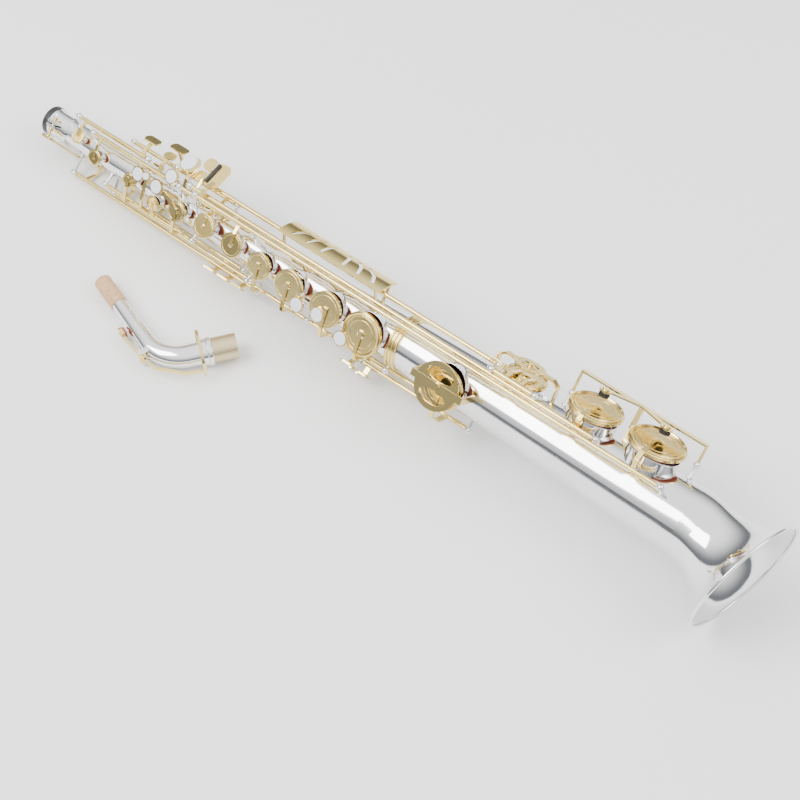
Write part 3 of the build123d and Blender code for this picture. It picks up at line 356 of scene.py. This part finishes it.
def pads_and_cup_ridges():
    """Each small key's pad, and the turned ridges on every key cup."""
    for name, hole in TONE_HOLES.items():
        station, turn, radius, chimney = hole
        pose = key_pose(name)
        out = facing(turn)
        aim = pose.to_3x3() @ out
        if name not in CAD_PADS:
            seat = at(station, *around(turn, tube_radius(station) + chimney + PAD_GAP + PAD - 0.1))
            piece(name + "_pad", [turned(disc_profile(radius - 1.08, 3.3, 0.9), pose @ seat, -aim)],
                  name + "_key", "pad_leather")
        crown = pose @ at(station, *around(turn, cup_top(hole) + 0.05))
        ridges = [turned(ring_profile(radius * 0.80, 0.42), crown, aim)]
        if radius > LARGE_CUP:
            rim = radius - 1.2
            wall = [(rim, -0.5), (rim, 1.0), (rim - 0.5, 1.4), (rim - 1.4, 1.2), (rim - 2.2, -0.5)]
            ridges.append(turned(wall, crown, aim))
            ridges.append(turned(ring_profile(radius * 0.62, 0.36), crown, aim))
        ridges.append(turned([(0, -0.6), (radius * 0.2, -0.6), (radius * 0.2, 0.5),
                              (radius * 0.16, 0.9), (0, 0.95)], crown, aim))
        piece(name + "_cup_ridges", ridges, name + "_key", "gold_lacquer")


def pearls():
    """Finger pearls of the upper stack."""
    for name, station, left in (("c", 141.0, 13.0), ("a", 168.0, 12.5)):
        level = cup_top(TONE_HOLES[name]) + (-0.2 if name == "c" else -0.4) + 0.85
        pose = key_pose(name)
        piece(name + "_pearl", [turned(disc_profile(6.7, 2.5, 1.1), pose @ at(station, left, level),
                                       pose.to_3x3() @ facing(0))], name + "_key", "pearl")
    pose = key_pose("g")
    piece("g_pearl", [turned(disc_profile(6.7, 2.5, 1.1), pose @ at(178.6, 25.0, 26.35),
                             pose.to_3x3() @ facing(0))], "g_key", "pearl")
    pose = key_pose("bis")
    piece("bis_pearl", [turned(disc_profile(3.7, 1.6, 0.8), pose @ at(155, 18, 30.65),
                               pose.to_3x3() @ facing(0))], "bis_key", "pearl")


def instanced(name, spots, profile_points, body, slot, steps=24):
    """The same turned fitting at many spots, each with its aim, set by Geometry Nodes."""
    pattern_shape = turned(profile_points, Vector((0, 0, 0)), Vector((0, 0, 1)), steps)
    pattern_mesh = bpy.data.meshes.new(name + "_pattern")
    pattern_shape.to_mesh(pattern_mesh)
    pattern_shape.free()
    pattern = bpy.data.objects.new(name + "_pattern", pattern_mesh)
    bpy.context.scene.collection.objects.link(pattern)
    places = bpy.data.meshes.new(name + "_places")
    places.from_pydata([tuple(spot) for spot, _, _ in spots], [], [])
    places.attributes.new("aim", "FLOAT_VECTOR", "POINT")
    places.attributes.new("size", "FLOAT", "POINT")
    for index, (_, aim, size) in enumerate(spots):
        places.attributes["aim"].data[index].vector = aim.normalized()
        places.attributes["size"].data[index].value = size
    carrier = bpy.data.objects.new(name + "_places", places)
    bpy.context.scene.collection.objects.link(carrier)

    tree = bpy.data.node_groups.new(name + "_nodes", "GeometryNodeTree")
    tree.interface.new_socket("Geometry", in_out="INPUT", socket_type="NodeSocketGeometry")
    fitting = tree.interface.new_socket("Fitting", in_out="INPUT", socket_type="NodeSocketObject")
    finish = tree.interface.new_socket("Finish", in_out="INPUT", socket_type="NodeSocketMaterial")
    tree.interface.new_socket("Geometry", in_out="OUTPUT", socket_type="NodeSocketGeometry")
    source = tree.nodes.new("NodeGroupInput")
    sink = tree.nodes.new("NodeGroupOutput")
    info = tree.nodes.new("GeometryNodeObjectInfo")
    aim_read = tree.nodes.new("GeometryNodeInputNamedAttribute")
    aim_read.data_type = "FLOAT_VECTOR"
    aim_read.inputs["Name"].default_value = "aim"
    size_read = tree.nodes.new("GeometryNodeInputNamedAttribute")
    size_read.data_type = "FLOAT"
    size_read.inputs["Name"].default_value = "size"
    align = tree.nodes.new("FunctionNodeAlignRotationToVector")
    align.axis = "Z"
    set_on = tree.nodes.new("GeometryNodeInstanceOnPoints")
    realize = tree.nodes.new("GeometryNodeRealizeInstances")
    paint = tree.nodes.new("GeometryNodeSetMaterial")
    link = tree.links.new
    link(source.outputs["Geometry"], set_on.inputs["Points"])
    link(source.outputs["Fitting"], info.inputs["Object"])
    link(info.outputs["Geometry"], set_on.inputs["Instance"])
    link(aim_read.outputs["Attribute"], align.inputs["Vector"])
    link(align.outputs["Rotation"], set_on.inputs["Rotation"])
    link(size_read.outputs["Attribute"], set_on.inputs["Scale"])
    link(set_on.outputs["Instances"], realize.inputs["Geometry"])
    link(realize.outputs["Geometry"], paint.inputs["Geometry"])
    link(source.outputs["Finish"], paint.inputs["Material"])
    link(paint.outputs["Geometry"], sink.inputs["Geometry"])
    modifier = carrier.modifiers.new(name, "NODES")
    modifier.node_group = tree
    modifier[fitting.identifier] = pattern
    modifier[finish.identifier] = FINISH[slot]
    mesh = bpy.data.meshes.new_from_object(carrier.evaluated_get(bpy.context.evaluated_depsgraph_get()))
    thing = bpy.data.objects.new(name, mesh)
    bpy.context.scene.collection.objects.link(thing)
    for helper in (carrier, pattern):
        bpy.data.objects.remove(helper)
    if not mesh.materials:
        mesh.materials.append(FINISH[slot])
    mesh.shade_smooth()
    mesh.set_sharp_from_angle(angle=math.radians(40))
    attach(thing, body)
    return thing


# Post stations at the two ends of each rod, with the rod's section point
RODS = [(294, 470.2, -28.0, 15.0), (94, 217, -24.0, 13.0), (168, 249.3, 31.0, 8.0),
        (190, 288.3, 22.0, 26.0), (190, 572.3, 36.0, 15.0), (202, 688.3, 29.0, 27.0),
        (216, 760.3, 26.0, 33.5), (574, 622.3, 35.0, 31.0), (436, 566, -38.0, 2.0),
        (416, 520, -34.0, -7.0), (46, 304, -34.5, 6.1), (96, 288, -32.9, -2.9),
        (137, 270, -31.0, -11.3), (88, 167, 20.7, -17.4), (64, 170, 19.1, 19.1),
        (35, 134, 23.8, 12.7), (36, 136, -8.5, -25.0)]
G_SHARP_ROD = (22.0, 26.0)
SCREW_SEAT = 3.05              # from the middle of a post's ball to its flat end
SPRING_UNDER = 2.9             # a spring lies this far below its rod, towards the tube


def rod_screws():
    """A domed screw head on each end of every rod."""
    head = [(0, 0), (1.9, 0), (1.9, 0.5), (1.5, 0.95), (0.8, 1.15), (0, 1.2)]
    spots = []
    for first, last, left, front in RODS:
        if (left, front) != G_SHARP_ROD:      # the G touch passes close to this end
            spots.append((at(first - SCREW_SEAT, left, front), -BORE, 1.0))
        spots.append((at(last + SCREW_SEAT, left, front), BORE, 1.0))
    instanced("rod_screws", spots, head, "horn", "steel", 20)


def tone_hole_rims():
    """Rolled rim on each tone hole's wall."""
    spots = []
    for station, turn, radius, chimney in TONE_HOLES.values():
        level = tube_radius(station) + chimney - 0.35
        spots.append((at(station, *around(turn, level)), facing(turn), radius - LAND + 0.75))
    shapes = [turned(ring_profile(size, 0.55), spot, aim) for spot, aim, size in spots]
    piece("tone_hole_rims", shapes, "horn", "silver_plate")


def spring_wires():
    """Steel needle springs that lie beside the hinge tubes."""
    wire = [(0, 0), (0.3, 0), (0.22, 14.0), (0, 14.2)]
    spots = []
    for first, last, left, front in RODS:
        reach = math.hypot(left, front)
        inner = (left * (reach - SPRING_UNDER) / reach, front * (reach - SPRING_UNDER) / reach)
        spots.append((at(first + 2.0, *inner), BORE, 1.0))
        spots.append((at(last - 2.0, *inner), -BORE, 1.0))
    instanced("needle_springs", spots, wire, "horn", "steel", 8)


TABLE, TABLE_FACE = (44, 12), (0.766, 0.643)        # left-hand touches: middle, and outward side
LOW_C_TOUCH, LOW_E_FLAT_TOUCH = (-46, 6.5), (-46, 5.5)
FOOT_FACE = (-0.906, 0.423)                         # outward side of the right-hand touches


def rollers():
    """Rollers on the little-finger touches."""
    def barrel(name, key, station, touch, face, rise, radius, length, slot):
        half = length / 2
        profile = [(0, -half), (radius * 0.7, -half), (radius, -half + 0.8), (radius, half - 0.8),
                   (radius * 0.7, half), (0, half)]
        pose = key_pose(key)
        middle = at(station, touch[0] + face[0] * rise, touch[1] + face[1] * rise)
        along = (HORN.to_3x3() @ Vector((0, face[1], -face[0]))).normalized()
        piece(name, [turned(profile, pose @ middle, pose.to_3x3() @ along, 28)], key + "_key", slot)

    barrel("b_flat_roller", "low_b_flat", 215.6, TABLE, TABLE_FACE, 2.4, 1.9, 23.0, "black_plastic")
    barrel("low_c_roller", "low_c", 440.6, LOW_C_TOUCH, FOOT_FACE, 2.2, 1.7, 9.0, "gold_lacquer")
    barrel("low_e_flat_roller", "low_e_flat", 432.2, LOW_E_FLAT_TOUCH, FOOT_FACE, 2.2, 1.7, 9.0,
           "gold_lacquer")


pads_and_cup_ridges()
pearls()
rod_screws()
tone_hole_rims()
spring_wires()
rollers()


# =====================================================================================
# Studio
# =====================================================================================
LIGHTS = [("key_light", (-0.9, -1.1, 1.9), 1.4, 60), ("fill_light", (1.5, 0.7, 1.6), 1.2, 22)]
FLOOR_SIZE, FLOOR_DROP = 80, 0.0004


def studio():
    """Wide pale floor, two soft lights, and a sky that darkens towards the horizon."""
    bpy.ops.mesh.primitive_plane_add(size=FLOOR_SIZE, location=(0, 0, -FLOOR_DROP))
    floor = bpy.context.object
    floor.name = "floor"
    floor.data.materials.append(floor_finish())
    world = bpy.data.worlds.new("soft_room")
    bpy.context.scene.world = world
    world.use_nodes = True
    tree = world.node_tree
    coordinates = Shade(tree, tree.nodes.new("ShaderNodeTexCoord").outputs["Generated"])
    height = coordinates.out("ShaderNodeSeparateXYZ", 2, None, Vector=coordinates)
    colour = height.between(0.05, 0.85).blend((0.10, 0.105, 0.115), (1.0, 1.0, 1.0))
    background = tree.nodes["Background"]
    tree.links.new(colour.socket, background.inputs["Color"])
    background.inputs["Strength"].default_value = 2.1
    for name, spot, size, power in LIGHTS:
        data = bpy.data.lights.new(name, "AREA")
        data.shape, data.size, data.energy = "SQUARE", size, power
        light = bpy.data.objects.new(name, data)
        bpy.context.scene.collection.objects.link(light)
        light.location = spot
        light.rotation_mode = "QUATERNION"
        light.rotation_quaternion = Vector(spot).to_track_quat("Z", "Y")


def camera():
    """Looks down along the horn from beyond its bell."""
    azimuth, elevation, distance = math.radians(40.04), math.radians(54.97), 1.587
    target = Vector((0.0791, -0.0015, 0.05))
    back = Vector((math.sin(azimuth) * math.cos(elevation), -math.cos(azimuth) * math.cos(elevation),
                   math.sin(elevation)))
    data = bpy.data.cameras.new("camera")
    data.lens, data.sensor_width = 78.75, 36.0
    data.clip_start, data.clip_end = 0.05, 50.0
    view = bpy.data.objects.new("camera", data)
    bpy.context.scene.collection.objects.link(view)
    view.location = target + back * distance
    view.rotation_mode = "QUATERNION"
    view.rotation_quaternion = back.to_track_quat("Z", "Y")
    bpy.context.scene.camera = view


studio()
camera()
